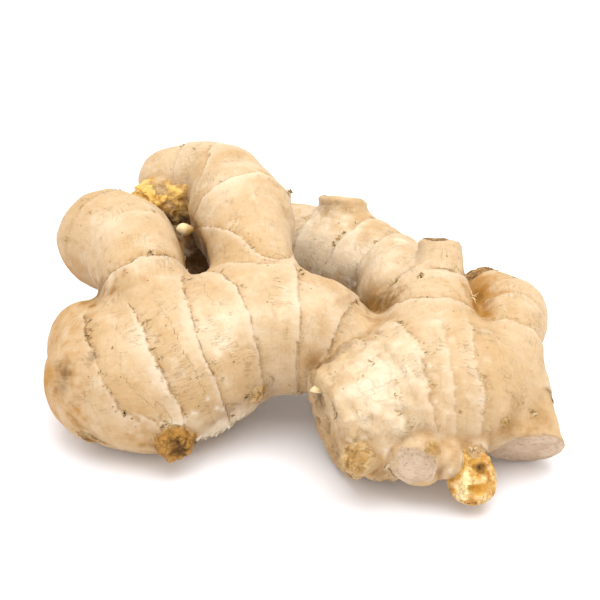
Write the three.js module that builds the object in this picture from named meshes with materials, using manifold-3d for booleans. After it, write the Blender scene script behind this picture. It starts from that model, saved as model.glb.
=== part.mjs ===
// Ginger root: one fresh rhizome, a hand of fat fingers that lies on its underside.
//
// Millimetres, +Z up. X runs along the hand from its thick left body to its right body, and the
// fingers grow towards +Y. The origin is the middle of the footprint, at the height of the surface
// that the rhizome lies on. It grew as one piece, so it is one solid.
import * as THREE from 'three';
import { mergeVertices } from 'three/addons/utils/BufferGeometryUtils.js';
import Module from 'manifold-3d';

// How far the skin stands out between two growth rings, how deep a ring's groove is below the
// plain radius, and how far the groove reaches along the finger on each side of the ring.
const SWELL = 0.4;
const GROOVE = 0.8;
const GROOVE_REACH = 1.8;

// Width of a facet round a finger, and the fewest sides of a thin one.
const FACET = 5.6;
const FEWEST_SIDES = 12;

// Length of a step between two sections along a finger, as a share of its mean radius.
const STEP_SHARE = 0.65;

// Steps from the tip of a round end to its rim.
const DOME_STEPS = 4;

// Edge of the block that is taken away beyond a flat cut: longer than the whole hand.
const BLOCK = 400;

const SKIN_COLOUR = 0xe8c898;
const SKIN_ROUGHNESS = 0.55;

// Each finger is a row of stations [x, y, z, radius] along its middle line, and the distances of
// its growth rings from the first station. The surface that the rhizome lies on is at z = 0 here.
// startCut and endCut are the outward directions of flat cuts through the first and the last
// station. The other ends are round.
const FINGERS = {
  leftBody: {
    stations: [
      [-53, -31, 19, 18.5],
      [-42, -32, 20, 21],
      [-30, -26, 23, 22],
      [-15, -20, 26, 19],
      [0, -20, 27, 17.5],
      [12, -25, 25, 13.5],
      [23, -31, 24, 11],
    ],
    rings: [12.1, 27.7, 39.2, 55.6, 69.2],
  },
  leftShoulder: {
    stations: [
      [-59, -17, 20, 13.5],
      [-46, -24, 22, 13],
    ],
    rings: [],
  },
  leftFinger: {
    stations: [
      [-42, -21, 29, 12.5],
      [-44.3, -9, 35, 12.6],
      [-49, 9, 36, 14.5],
      [-57, 19, 34, 15.1],
    ],
    rings: [13.5],
  },
  middleFinger: {
    stations: [
      [-13, -20, 31, 13.5],
      [-13.3, -5, 38, 11.6],
      [-16, 14, 39, 14],
      [-17.5, 24, 39.5, 15.1],
      [-20, 34, 39.5, 13.2],
      [-24, 44, 39, 12.5],
      [-32, 51, 36, 12],
      [-39, 53, 34, 11],
    ],
    rings: [11, 44.6, 68.1, 79],
  },
  scarBoss: {
    stations: [
      [-40, 52, 32, 8],
      [-42, 43, 34, 7],
      [-46, 41, 34, 5],
    ],
    rings: [],
  },
  underFinger: {
    stations: [
      [-32, 47, 28, 10],
      [-30, 44, 17, 10.5],
      [-28.5, 42.5, 8, 9.3],
    ],
    rings: [12],
  },
  eyeBud: {
    stations: [
      [-36, -40, 15, 9],
      [-34.7, -48.5, 10.8, 5.2],
    ],
    rings: [],
  },
  rightBody: {
    stations: [
      [9, -53, 18, 13.5],
      [19, -48, 20, 18],
      [28, -44, 20, 20.5],
      [36, -42, 22, 21],
      [46, -41, 22, 17.5],
      [55, -38, 21, 10.3],
    ],
    rings: [13, 27.9, 32.3, 39.2],
    startCut: [-0.9, -0.41, -0.166],
  },
  rightNeck: {
    stations: [
      [37, -36, 25, 17],
      [36, -20, 27, 15],
      [32, 3, 23, 15],
    ],
    rings: [12.5, 27],
  },
  rearFinger: {
    stations: [
      [32, 6, 21, 13],
      [27, 25, 17.5, 13],
      [14, 40, 15, 14.5],
      [2, 50, 13, 13],
      [-9, 55, 12, 12],
    ],
    rings: [19.9, 32, 50, 66],
  },
  rearStub: {
    stations: [
      [14, 42, 20, 8.5],
      [13, 49, 31, 6.8],
    ],
    rings: [],
    endCut: [0.1, 0.5, 0.86],
  },
  uprightStub: {
    stations: [
      [39, -14, 29, 10],
      [40, -5, 37, 7.2],
      [40.5, 4, 42.4, 5.8],
    ],
    rings: [11],
    endCut: [0.1, 0.65, 0.75],
  },
  hookedFinger: {
    stations: [
      [56, -37, 21, 11],
      [58.5, -29, 27, 9],
      [60.8, -5, 23, 10.7],
      [54.5, 5, 22.5, 8.5],
    ],
    rings: [12, 26, 37],
  },
  cutStub: {
    stations: [
      [58, -35, 18, 11],
      [60, -43, 13.5, 11],
      [62.3, -50.5, 9, 10.8],
    ],
    rings: [5],
    endCut: [0, -0.837, -0.554],
  },
  yellowBud: {
    stations: [
      [47, -46, 18, 7],
      [46, -58, 16, 5],
      [46, -62, 12.2, 5.2],
      [46.5, -65, 9.4, 5.2],
    ],
    rings: [14],
  },
  cutNub: {
    stations: [
      [32, -50, 19, 9],
      [30.8, -67.6, 15.8, 7],
    ],
    rings: [],
    endCut: [-0.2, -0.97, -0.1],
  },
  nubLobe: {
    stations: [
      [37, -48, 19, 9],
      [39.4, -64.4, 16, 5],
    ],
    rings: [],
  },
  roundScar: {
    stations: [
      [20, -50, 18, 9],
      [15.6, -65.3, 16.6, 4.8],
    ],
    rings: [],
  },
};

const wasm = await Module();
wasm.setup();

// A closed three.js geometry as a solid that can be joined and cut.
function solidOf(geometry) {
  const bare = geometry.clone();
  bare.deleteAttribute('normal');
  bare.deleteAttribute('uv');
  const merged = mergeVertices(bare);
  return new wasm.Manifold(
    new wasm.Mesh({
      numProp: 3,
      vertProperties: merged.attributes.position.array,
      triVerts: new Uint32Array(merged.index.array),
    }),
  );
}

// A joined solid back as a three.js geometry.
function geometryOf(solid) {
  const mesh = solid.getMesh();
  const geometry = new THREE.BufferGeometry();
  geometry.setAttribute('position', new THREE.BufferAttribute(mesh.vertProperties, mesh.numProp));
  geometry.setIndex(new THREE.BufferAttribute(mesh.triVerts, 1));
  geometry.computeVertexNormals();
  return geometry;
}

// How far the skin stands out of a finger's plain radius at a distance along it: a shallow groove
// with straight flanks at each growth ring, and level between the rings.
function ringRelief(rings, along) {
  if (rings.length === 0) return 0;
  const nearest = Math.min(...rings.map((ring) => Math.abs(along - ring)));
  const inGroove = Math.max(0, 1 - nearest / GROOVE_REACH);
  return SWELL * (1 - inGroove) - GROOVE * inGroove;
}

// Distances along a finger at which it has a section: both ends, the bottom and both lips of each
// groove, and even steps between them.
function sectionDistances(length, rings, step) {
  const lips = rings.flatMap((ring) => [ring - GROOVE_REACH, ring, ring + GROOVE_REACH]);
  const marks = [0, ...lips, length];
  const distances = [0];
  for (let i = 1; i < marks.length; i++) {
    const span = marks[i] - marks[i - 1];
    const steps = Math.max(1, Math.round(span / step));
    for (let k = 1; k <= steps; k++) distances.push(marks[i - 1] + (span * k) / steps);
  }
  return distances;
}

// The tip and the sections of a round end, from next to its tip to next to its rim: steps of a
// quarter circle beyond the rim, which sign 1 puts ahead of it and sign -1 behind it.
function roundEnd(rim, sign) {
  const beyond = (reach) => rim.centre.clone().addScaledVector(rim.direction, sign * reach);
  const sections = [];
  for (let k = 1; k < DOME_STEPS; k++) {
    const turn = (k / DOME_STEPS) * (Math.PI / 2);
    sections.push({
      centre: beyond(rim.radius * Math.cos(turn)),
      direction: rim.direction,
      radius: rim.radius * Math.sin(turn),
    });
  }
  return { tip: beyond(rim.radius), sections };
}

// All sections of a finger between its two tips, and the tips: a smooth curve through the stations
// carries them, and a second curve through the radii gives their size.
function sectionsOf({ stations, rings }) {
  const centres = stations.map(([x, y, z]) => new THREE.Vector3(x, y, z));
  const radii = stations.map(([, , , radius]) => new THREE.Vector3(radius, 0, 0));
  const middle = new THREE.CatmullRomCurve3(centres, false, 'catmullrom');
  const girth = new THREE.CatmullRomCurve3(radii, false, 'catmullrom');
  const length = middle.getLength();
  const meanRadius = radii.reduce((sum, radius) => sum + radius.x, 0) / radii.length;

  const along = sectionDistances(length, rings, meanRadius * STEP_SHARE).map((distance) => {
    const share = distance / length;
    return {
      centre: middle.getPointAt(share),
      direction: middle.getTangentAt(share),
      radius: girth.getPoint(middle.getUtoTmapping(share)).x + ringRelief(rings, distance),
    };
  });
  const start = roundEnd(along[0], -1);
  const end = roundEnd(along[along.length - 1], 1);
  return {
    sections: [...start.sections, ...along, ...end.sections.reverse()],
    startTip: start.tip,
    endTip: end.tip,
    widest: Math.max(...along.map((section) => section.radius)),
  };
}

// A finger as a closed skin: rings of points round the sections, joined by quads that are split
// into triangles, and closed by a fan at each tip.
function fingerGeometry(finger) {
  const { sections, startTip, endTip, widest } = sectionsOf(finger);
  const sides = Math.max(FEWEST_SIDES, Math.round((2 * Math.PI * widest) / FACET));
  const points = [startTip];
  const up = new THREE.Vector3(0, 0, 1);
  for (const { centre, direction, radius } of sections) {
    const top = up.clone().projectOnPlane(direction).normalize();
    const side = new THREE.Vector3().crossVectors(direction, top);
    for (let k = 0; k < sides; k++) {
      const turn = (k / sides) * 2 * Math.PI;
      const outward = top.clone().multiplyScalar(Math.cos(turn));
      outward.addScaledVector(side, Math.sin(turn));
      points.push(centre.clone().addScaledVector(outward, radius));
    }
  }
  points.push(endTip);

  const faces = [];
  const pointOf = (row, k) => 1 + row * sides + (k % sides);
  const lastRow = sections.length - 1;
  for (let k = 0; k < sides; k++) {
    faces.push(0, pointOf(0, k + 1), pointOf(0, k));
    faces.push(points.length - 1, pointOf(lastRow, k), pointOf(lastRow, k + 1));
    for (let row = 0; row < lastRow; row++) {
      const a = pointOf(row, k);
      const b = pointOf(row, k + 1);
      const c = pointOf(row + 1, k + 1);
      const d = pointOf(row + 1, k);
      faces.push(a, b, c, a, c, d);
    }
  }
  const geometry = new THREE.BufferGeometry().setFromPoints(points);
  geometry.setIndex(faces);
  return geometry;
}

// A block whose near face lies on the plane through a point, square to an outward direction.
function blockBeyond(point, outward) {
  const block = new THREE.BoxGeometry(BLOCK, BLOCK, BLOCK);
  block.translate(0, 0, BLOCK / 2);
  const turn = new THREE.Quaternion().setFromUnitVectors(new THREE.Vector3(0, 0, 1), outward);
  block.applyQuaternion(turn);
  block.translate(point.x, point.y, point.z);
  return solidOf(block);
}

// A finger with its flat cuts.
function fingerSolid(finger) {
  let solid = solidOf(fingerGeometry(finger));
  const cuts = [
    [finger.stations[0], finger.startCut],
    [finger.stations[finger.stations.length - 1], finger.endCut],
  ];
  for (const [[x, y, z], outward] of cuts) {
    if (outward === undefined) continue;
    const direction = new THREE.Vector3(...outward).normalize();
    solid = solid.subtract(blockBeyond(new THREE.Vector3(x, y, z), direction));
  }
  return solid;
}

// The whole hand: every finger joined to the others, and the lowest bulges pressed flat where they
// carry its weight.
function rhizomeGeometry() {
  const joined = Object.values(FINGERS)
    .map(fingerSolid)
    .reduce((whole, finger) => whole.add(finger));
  const down = new THREE.Vector3(0, 0, -1);
  const resting = joined.subtract(blockBeyond(new THREE.Vector3(0, 0, 0), down));
  const geometry = geometryOf(resting);
  geometry.computeBoundingBox();
  const middle = geometry.boundingBox.getCenter(new THREE.Vector3());
  geometry.translate(-middle.x, -middle.y, 0);
  return geometry;
}

const skin = new THREE.MeshStandardMaterial({
  color: SKIN_COLOUR,
  roughness: SKIN_ROUGHNESS,
  metalness: 0,
});
const rhizome = new THREE.Mesh(rhizomeGeometry(), skin);
rhizome.name = 'rhizome';

const gingerRoot = new THREE.Group();
gingerRoot.add(rhizome);

export default gingerRoot;
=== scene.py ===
from functools import partial

import bpy
import numpy as np
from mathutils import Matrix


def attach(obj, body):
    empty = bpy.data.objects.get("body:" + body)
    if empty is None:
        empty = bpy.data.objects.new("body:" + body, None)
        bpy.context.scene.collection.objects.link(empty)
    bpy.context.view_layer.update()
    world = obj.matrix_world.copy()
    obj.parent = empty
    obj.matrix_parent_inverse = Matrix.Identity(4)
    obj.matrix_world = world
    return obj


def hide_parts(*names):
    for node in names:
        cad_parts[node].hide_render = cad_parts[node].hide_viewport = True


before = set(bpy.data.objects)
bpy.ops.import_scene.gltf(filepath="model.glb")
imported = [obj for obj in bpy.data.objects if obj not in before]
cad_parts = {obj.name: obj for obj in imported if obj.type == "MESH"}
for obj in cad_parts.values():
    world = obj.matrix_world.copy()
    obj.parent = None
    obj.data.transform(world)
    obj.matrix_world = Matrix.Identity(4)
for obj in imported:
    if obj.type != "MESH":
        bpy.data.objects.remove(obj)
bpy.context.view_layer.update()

# === The rhizome's skin =========================================================================
# A hand of ginger is one fat underground stem that branched as it grew: firm, moist flesh under a
# thin papery skin, with a ring at every node where a scale leaf sat. The fingers flow into each
# other, and the belly is pressed on the table.

# --- Its fingers ---

# Sizes and places are in mm, with the table at z = 0, and turned to metres as a mesh is made.
MM = 0.001

# Each finger is a chain of round sections.
# Stations: x, y, z and radius.
# Rings: distance from the first station, the step down past the ring, how brown the ring is from 0
# to 1, and how far it leans along the finger on its top and on its right side.
# Flow: the width over which the finger's foot flows into the hand.
# Cuts: the way a flat cut through the first or the last station faces.
FINGERS = {
    "left_body": dict(
        stations=[(-53, -31, 19, 18.5), (-42, -32, 20, 21), (-30, -26, 23, 22),
                  (-15, -20, 26, 19), (0, -20, 27, 17.5), (12, -25, 25, 13.5),
                  (23, -31, 24, 11)],
        rings=[(3.2, 0.3, 1.0, -8.7, 5.6), (12, 0.5, 0.9, 0.1, 1), (29.4, 0.6, 0.7, -1.7, -5.9),
               (35.4, 0.6, 0.6, 3.8, 6), (59.1, 0.7, 0.4, -3.5, 3.1), (69, 0.5, 0.4, 0.2, 1.4)],
        flow=5),
    "left_shoulder": dict(
        stations=[(-59, -17, 20, 13.5), (-46, -24, 22, 13)], rings=[], flow=5),
    "left_finger": dict(
        stations=[(-42, -21, 29, 12.5), (-44.3, -9, 35, 12.6), (-49, 9, 36, 14.5),
                  (-57, 19, 34, 15.1)],
        rings=[(13.7, 0.5, 0.7, -0.2, 1.2), (29, 0.15, 0.1, 2, 0), (44, 0.2, 0.2, 0, 0)],
        flow=5),
    "middle_finger": dict(
        stations=[(-13, -20, 31, 13.5), (-13.3, -5, 38, 11.6), (-16, 14, 39, 14),
                  (-17.5, 24, 39.5, 15.1), (-20, 34, 39.5, 13.2), (-24, 44, 39, 12.5),
                  (-32, 51, 36, 12), (-39, 53, 34, 11)],
        rings=[(14.4, 0.4, 0.3, -3.4, -0.9), (31.7, 0.4, 0.4, -16.1, -8.3),
               (45.8, 0.45, 0.5, -1.2, 4.2), (37.4, 0.45, 0.6, 30.7, 2.7), (79, 0.3, 0.3, 0, 0)],
        flow=6),
    "scar_boss": dict(
        stations=[(-40, 52, 32, 8), (-42, 43, 34, 7), (-46, 41, 34, 5)], rings=[], flow=2),
    # A low finger under the gap between the left and the middle finger; its skin is painted dark brown
    # there as shade.
    "under_finger": dict(
        stations=[(-32, 47, 28, 10), (-30, 44, 17, 10.5), (-28.5, 42.5, 8, 9.3)],
        rings=[(12, 0.5, 0.3, 0, 0)], flow=3),
    "eye_bud": dict(
        stations=[(-36, -40, 15, 9), (-34.7, -48.5, 10.8, 5.2)], rings=[], flow=2),
    "right_body": dict(
        stations=[(9, -53, 18, 13.5), (19, -48, 20, 18), (28, -44, 20, 20.5),
                  (36, -42, 22, 21), (46, -41, 22, 17.5), (55, -38, 21, 10.3)],
        rings=[(13, 0.4, 0.2, 0, 0), (24, 0.7, 0.35, 3.9, 1.7), (32.5, 0.3, 0.15, -0.2, 1.3),
               (39.2, 0.3, 0.15, 0, 0.2)],
        start_cut=(-0.9, -0.41, -0.166), flow=5),
    "right_neck": dict(
        stations=[(37, -36, 25, 17), (36, -20, 27, 15), (32, 3, 23, 15)],
        rings=[(16, 0.6, 0.5, -3.5, -2.2), (27, 0.5, 0.4, 0, 3)], flow=6),
    "rear_finger": dict(
        stations=[(32, 6, 21, 13), (27, 25, 17.5, 13), (14, 40, 15, 14.5), (2, 50, 13, 13),
                  (-9, 55, 12, 12)],
        rings=[(17.1, 0.6, 0.6, 2.8, 3.2), (36, 0.35, 0.2, -4, 0), (50, 0.4, 0.3, 0, 0),
               (66, 0.4, 0.3, 0, 0)],
        flow=5),
    "rear_stub": dict(
        stations=[(14, 42, 20, 8.5), (13, 49, 31, 6.8)], rings=[], end_cut=(0.1, 0.5, 0.86),
        flow=3),
    "upright_stub": dict(
        stations=[(39, -14, 29, 10), (40, -5, 37, 7.2), (40.5, 4, 42.4, 5.8)],
        rings=[(11, 0.3, 0.5, 0, 0)], end_cut=(0.1, 0.65, 0.75), flow=4),
    "hooked_finger": dict(
        stations=[(56, -37, 21, 11), (58.5, -29, 27, 9), (60.8, -5, 23, 10.7), (54.5, 5, 22.5, 8.5)],
        rings=[(12, 0.4, 0.3, 0, 0), (24, 0.3, 0.3, 2, 0), (37, 0.4, 0.5, 0, 0)], flow=4),
    "cut_stub": dict(
        stations=[(58, -35, 18, 11), (60, -43, 13.5, 11), (62.3, -50.5, 9, 10.8)],
        rings=[(5, 0.5, 0.6, 0, 0)], end_cut=(0, -0.837, -0.554), flow=3),
    "yellow_bud": dict(
        stations=[(47, -46, 18, 7), (46, -58, 16, 5.0), (46, -62, 12.2, 5.2),
                  (46.5, -65, 9.4, 5.2)],
        rings=[(8, 0.3, 0.3, 0, 0), (11, 0.3, 0.4, 0, 1), (14, 0.5, 0.6, 0, 0)], flow=1.5),
    "cut_nub": dict(
        stations=[(32, -50, 19, 9), (30.8, -67.6, 15.8, 7.0)], rings=[],
        end_cut=(-0.2, -0.97, -0.1), flow=1.5),
    "nub_lobe": dict(
        stations=[(37, -48, 19, 9), (39.4, -64.4, 16, 5)], rings=[], flow=1.5),
    "round_scar": dict(
        stations=[(20, -50, 18, 9), (15.6, -65.3, 16.6, 4.8)], rings=[], flow=2),
}
CUTS = ((0, "start_cut"), (-1, "end_cut"))

# The two halves of the hand press on each other along a seam, and so do fingers whose foot flows
# into the hand over less than a narrow width.
HALVES_FLOW = 2.5
NARROW_FLOW = 2.5
SEAM_WIDTH = 3.0
RIGHT_HALF = ("right_body", "right_neck", "rear_finger", "rear_stub", "upright_stub",
              "hooked_finger", "cut_stub", "yellow_bud", "cut_nub", "nub_lobe", "round_scar")
CUT_ROUNDING = 1.2
BELLY_ROUNDING = 1.0

# The skin is worked out on a grid of cells, up to where a finger is far off.
CELL = 0.85
FAR = 10.0
PATH_STEPS = 7
PAST_END = 9.0


def smooth_path(stations):
    """A Catmull-Rom curve through the stations: between two of them each number is the cubic that
    leaves the first and reaches the second with half the difference of their neighbours."""
    rows = np.asarray(stations, float)
    rows = np.vstack([2 * rows[0] - rows[1], rows, 2 * rows[-1] - rows[-2]])
    t = np.linspace(0, 1, PATH_STEPS, endpoint=False)[None, :, None]
    a, b, c, d = (rows[i:len(rows) - 3 + i, None, :] for i in range(4))
    curve = 0.5 * (2 * b + (c - a) * t + (2 * a - 5 * b + 4 * c - d) * t ** 2
                   + (3 * b - a - 3 * c + d) * t ** 3)
    return np.vstack([curve.reshape(-1, rows.shape[1]), rows[-2:-1]])


def path_lengths(path):
    """Running length of the polyline at each of its points."""
    steps = np.linalg.norm(np.diff(path[:, :3], axis=0), axis=1)
    return np.concatenate([[0], np.cumsum(steps)])


def finger_distance(points, path):
    """For each point, the distance to the skin of a chain of tapered round links (distance to the
    link's axis less the radius there), and how far along the chain its nearest place is. The
    length runs on past both ends by a few links, so that the round tips have lengths too."""
    lengths = path_lengths(path)
    best = np.full(len(points), np.inf, np.float32)
    along = np.zeros(len(points), np.float32)
    last = len(path) - 2
    for i in range(last + 1):
        start, end = path[i], path[i + 1]
        axis = (end - start)[:3]
        span = float(axis @ axis)
        offset = points - start[:3].astype(np.float32)
        free = offset @ (axis / span).astype(np.float32)
        t = np.clip(free, 0, 1)
        gap = offset - t[:, None] * axis.astype(np.float32)
        distance = np.sqrt(np.einsum("ij,ij->i", gap, gap)) - (start[3] + (end[3] - start[3]) * t)
        nearer = distance < best
        best[nearer] = distance[nearer]
        low = -PAST_END if i == 0 else 0.0
        high = PAST_END if i == last else 1.0
        along[nearer] = (lengths[i] + np.clip(free, low, high) * np.sqrt(span))[nearer]
    return best, along


def flow_together(a, b, width):
    """The lower of two distances, rounded where they come within a width of each other."""
    overlap = np.maximum(width - np.abs(a - b), 0) / width
    return np.minimum(a, b) - overlap ** 2 * width / 4


def unit(vector):
    """The vector, or each row of vectors, at length 1."""
    vector = np.asarray(vector, float)
    return vector / np.maximum(np.linalg.norm(vector, axis=-1, keepdims=True), 1e-9)


def cut_finger(distance, points, finger):
    """The finger's distance with its flat cuts: beyond the plane through an end station, the
    distance to that plane takes over, with a slightly rounded rim."""
    for end, cut in CUTS:
        if cut in finger:
            beyond = (points - np.array(finger["stations"][end][:3], np.float32))
            beyond = beyond @ unit(finger[cut]).astype(np.float32)
            distance = -flow_together(-distance, -beyond, CUT_ROUNDING)
    return distance


paths = {name: smooth_path(finger["stations"]) for name, finger in FINGERS.items()}
reach = np.vstack([np.hstack([path[:, :3] - path[:, 3:], path[:, :3] + path[:, 3:]])
                   for path in paths.values()])
GRID_MARGIN = 4
GRID_FLOOR = -3
grid_low = reach[:, :3].min(0) - GRID_MARGIN
grid_low[2] = GRID_FLOOR
grid_high = reach[:, 3:].max(0) + GRID_MARGIN
grid_shape = np.ceil((grid_high - grid_low) / CELL).astype(int) + 1
grid_axes = [grid_low[k] + CELL * np.arange(grid_shape[k]) for k in range(3)]


def hand_field():
    """The distance to the hand's skin on a grid, how much the fingers flow together there, and how
    near to a narrow seam it is: 1 where two fingers press on each other, 0 a seam's width away.
    Each finger is worked out only inside its own box, and joined to the ones before it."""
    seam = np.zeros(grid_shape, np.float32)
    halves = {side: np.full(grid_shape, FAR, np.float32) for side in ("left", "right")}
    plain = np.full(grid_shape, FAR, np.float32)
    for name, finger in FINGERS.items():
        path = paths[name]
        low = (path[:, :3] - path[:, 3:]).min(0) - FAR
        high = (path[:, :3] + path[:, 3:]).max(0) + FAR
        first = np.clip(((low - grid_low) / CELL).astype(int), 0, None)
        last = np.minimum(((high - grid_low) / CELL).astype(int) + 1, grid_shape)
        box = tuple(slice(a, b) for a, b in zip(first, last))
        axes = [grid_axes[k][box[k]].astype(np.float32) for k in range(3)]
        points = np.stack(np.meshgrid(*axes, indexing="ij"), -1).reshape(-1, 3)
        distance, _ = finger_distance(points, path)
        distance = cut_finger(distance, points, finger).reshape(plain[box].shape)
        side = halves["right" if name in RIGHT_HALF else "left"]
        if finger["flow"] < NARROW_FLOW:
            seam[box] = np.maximum(seam[box], 1 - np.abs(side[box] - distance) / SEAM_WIDTH)
        side[box] = flow_together(side[box], distance, finger["flow"])
        plain[box] = np.minimum(plain[box], distance)
    field = flow_together(halves["left"], halves["right"], HALVES_FLOW)
    seam = np.maximum(seam, 1 - np.abs(halves["left"] - halves["right"]) / SEAM_WIDTH)
    flowed = plain - field
    height = np.broadcast_to(grid_axes[2].astype(np.float32), grid_shape)
    field = -flow_together(-field, height, BELLY_ROUNDING)
    return field, flowed, seam


# --- Its surface ---


def sample(values, points):
    """The grid's values at points between its nodes, by straight-line mixing along X, Y and Z."""
    place = (points - grid_low) / CELL
    place = np.clip(place, 0, np.array(values.shape) - 1.001)
    cell = place.astype(int)
    part = place - cell
    total = 0
    for corner in np.ndindex(2, 2, 2):
        share = np.prod(np.where(corner, part, 1 - part), axis=1)
        i, j, k = (cell + corner).T
        total = total + share * values[i, j, k]
    return total


def contour(field, low, cell_size):
    """The skin as quads by surface nets: one point in every cell that the skin crosses, at the
    mean of its crossings with the cell's edges, and one quad round every grid edge it crosses."""
    inside = field < 0
    cells = tuple(n - 1 for n in field.shape)
    corner_views = [inside[i:i + cells[0], j:j + cells[1], k:k + cells[2]]
                    for i, j, k in np.ndindex(2, 2, 2)]
    crossed = np.logical_or.reduce(corner_views) & ~np.logical_and.reduce(corner_views)
    cell = np.argwhere(crossed)
    number = np.full(cells, -1, np.int64)
    number[crossed] = np.arange(len(cell))
    total = np.zeros((len(cell), 3))
    count = np.zeros(len(cell))
    for axis in range(3):
        across = [k for k in range(3) if k != axis]
        for u, v in np.ndindex(2, 2):
            near = np.zeros(3, int)
            near[across] = u, v
            far = near.copy()
            far[axis] = 1
            a = field[tuple((cell + near).T)]
            b = field[tuple((cell + far).T)]
            hit = (a < 0) != (b < 0)
            place = np.tile(near.astype(float), (len(cell), 1))
            place[:, axis] = np.where(hit, a / np.where(hit, a - b, 1), 0)
            total += place * hit[:, None]
            count += hit
    points = (cell + total / count[:, None]) * cell_size + low
    quads = []
    for axis, (u, v) in enumerate(((1, 2), (2, 0), (0, 1))):
        lower = np.take(inside, range(field.shape[axis] - 1), axis)
        upper = np.take(inside, range(1, field.shape[axis]), axis)
        edge = np.argwhere(lower != upper)
        step_u = np.eye(3, dtype=int)[u]
        step_v = np.eye(3, dtype=int)[v]
        corners = [edge - step_u - step_v, edge - step_v, edge, edge - step_u]
        quad = np.stack([number[tuple(corner.T)] for corner in corners], 1)
        inward = ~lower[tuple(edge.T)]
        quad[inward] = quad[inward][:, ::-1]
        quads.append(quad)
    return points, np.vstack(quads)


def even_out(points, quads, field, slopes, rounds=3):
    """A few times over, each point moves half-way to the mean of its neighbours and then back onto
    the skin, so that the quads are of one size and the skin has no steps."""
    ends = np.vstack([quads[:, [k, (k + 1) % 4]] for k in range(4)])
    ends = np.vstack([ends, ends[:, ::-1]])
    degree = np.bincount(ends[:, 0], minlength=len(points))
    for _ in range(rounds):
        mean = np.stack([np.bincount(ends[:, 0], points[ends[:, 1], k], len(points))
                         for k in range(3)], 1) / degree[:, None]
        points = 0.5 * points + 0.5 * mean
        points = onto_skin(points, field, slopes)
    return points


def onto_skin(points, field, slopes, tries=2):
    """Points moved along the slope of the field to where it is zero."""
    for _ in range(tries):
        slope = np.stack([sample(part, points) for part in slopes], 1)
        steep = np.maximum((slope ** 2).sum(1), 0.2)
        points = points - slope * (sample(field, points) / steep)[:, None]
    return points


# --- Its relief ---

# Eight kinds of random numbers, each on a lattice that repeats past its size.
LATTICE = 32
LATTICE_START = 100.37
lattice = np.random.default_rng(41).random((8, LATTICE, LATTICE, LATTICE)).astype(np.float32)


def cloud(points, size, kind):
    """Smooth random values from -1 to 1 with lumps about size mm across: random numbers on a
    lattice, eased between its nodes by the quintic that is flat at both ends."""
    place = np.asarray(points) / size + LATTICE_START
    cell = np.floor(place).astype(int)
    part = place - cell
    part = part * part * part * (part * (part * 6 - 15) + 10)
    total = 0
    for corner in np.ndindex(2, 2, 2):
        share = np.prod(np.where(corner, part, 1 - part), axis=1)
        i, j, k = ((cell + corner) % LATTICE).T
        total = total + share * lattice[kind, i, j, k]
    return 2 * total - 1


def clouds(points, layers):
    """Clouds laid over each other: each layer has its height, its size in mm and its kind."""
    return sum(height * cloud(points, size, kind) for height, size, kind in layers)


def ease(low, high, value):
    """0 below low, 1 above high, and an S-curve between them."""
    t = np.clip((value - low) / (high - low), 0, 1)
    return t * t * (3 - 2 * t)


def finger_places(points):
    """For every finger, a row for each point: distance to its skin, length along it, and the turn
    round it in radians from its top.

    The length is where the plane square to the finger's bent axis goes through the point. From the
    nearest place on the axis it is found in steps of 0.8 of how far the point lies ahead of it.
    """
    rows = {}
    for name, path in paths.items():
        distance, along = finger_distance(points.astype(np.float32), path)
        distance = cut_finger(distance, points.astype(np.float32), FINGERS[name])
        lengths = path_lengths(path)
        tangents = np.gradient(path[:, :3], lengths, axis=0)
        for _ in range(5):
            held = np.clip(along, 0, lengths[-1])
            foot = np.stack([np.interp(held, lengths, path[:, k]) for k in range(3)], 1)
            ahead = unit(np.stack([np.interp(held, lengths, tangents[:, k]) for k in range(3)], 1))
            out = points - foot
            beyond = (held <= 0) | (held >= lengths[-1])
            along = held + np.where(beyond, 1.0, 0.8) * (out * ahead).sum(1)
        top = unit(np.array([0, 0, 1.0]) - ahead * ahead[:, 2:3])
        side = np.cross(ahead, top)
        turn = np.arctan2((out * side).sum(1), (out * top).sum(1))
        rows[name] = (distance, along, turn)
    return rows


# Rings, in mm: how wide the step is, how far the swelling before it and the dip past it reach, how
# far off a ring is still known to the material, and how far its pale and its tan band reach. The
# pale band is pale skin and a painted highlight of the ring's lip, the tan band tan skin and painted
# shade of the step.
RING_STEP_WIDTH = 0.35
RING_REACH = 5.0
RING_VIEW = 8.0
PALE_REACH = 4.5
TAN_REACH = 3.5
# The swelling and the dip are this share of the step, and the bands this strong to the mm of it.
RING_SWELL = 0.6
BAND_STRENGTH = 2.2
# How far off, in mm, a neighbouring finger still has a share in a point.
SHARE_WIDTH = 1.0

# Clouds of height, size in mm and kind: how far the rings wander, how the skin swells, and how
# ragged the stains are.
WANDER = ((0.8, 8, 1), (0.4, 2.6, 2), (0.15, 0.9, 3))
SWELLS = ((0.5, 15, 3), (0.3, 6.5, 4), (0.15, 2.8, 5))
RAGGED = ((0.45, 3.0, 5), (0.3, 1.3, 6))

# At a cut the skin curls up by this much, over this width, this far inside the rim, all in mm.
CURL = 0.4
CURL_WIDTH = 0.9
CURL_INSIDE = 1.0

# The grain of fingers that touch is kept apart by this much for each letter of their names.
GRAIN_APART = 7.3

# The blunt end's skin has dried into a crumple and into folds round it: their heights in mm, and
# the lengths along the right body between which it ends.
DRY_FOLDS = 0.6
DRY_CRUMPLE = 0.85
DRY_ENDS = (14, 25)

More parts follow.
